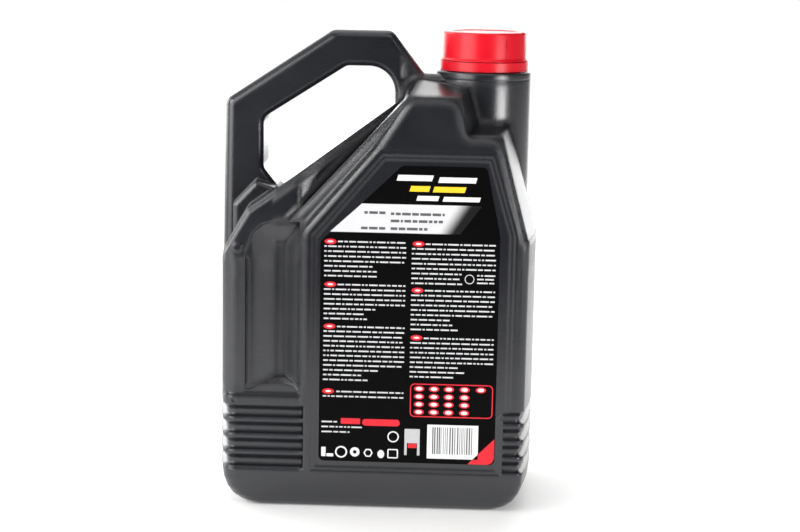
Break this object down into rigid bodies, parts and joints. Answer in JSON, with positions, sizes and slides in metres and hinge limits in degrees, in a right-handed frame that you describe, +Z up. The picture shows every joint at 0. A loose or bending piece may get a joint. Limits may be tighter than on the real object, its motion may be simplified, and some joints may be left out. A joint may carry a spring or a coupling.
{
  "type": "motor oil bottle",
  "caption": "Upright blow-moulded motor oil jug with an offset capped neck, a side handle with a finger gap, moulded grip ribs and a bare label field on its front.",
  "frame": {"origin": "bottom centre of the bottle, on the plane it stands on", "axes": "+Z up, +X towards the neck's side, -Y out of the labelled front"},
  "size_m": [0.205, 0.117, 0.306],
  "materials": {
    "bottle": "satin black polyethylene with a fine mould grain",
    "label": "glossy printed film",
    "cap": "satin red polypropylene",
    "liner": "soft white foam",
    "spout": "natural polyethylene"
  },
  "bodies": {
    "bottle": {"bottle": "bottle", "label": "label", "tamper_ring": "cap", "spout_collar": "spout", "spout_tube": "spout", "spout_seal": "spout"},
    "liner": {"cap_liner": "liner"},
    "cap": {"cap": "cap"}
  },
  "joints": [
    {"name": "cap_rise", "type": "slide", "parent": "bottle", "child": "liner", "axis": [0, 0, 1], "range_m": [0, 0.017]},
    {"name": "cap_turn", "type": "hinge", "parent": "liner", "child": "cap", "pos_m": [0.0656, 0, 0.295], "axis": [0, 0, 1], "range_deg": [0, 960]}
  ],
  "couplings": [
    {"joint": "cap_rise", "follows": "cap_turn", "m_per_rad": 0.00095493}
  ]
}
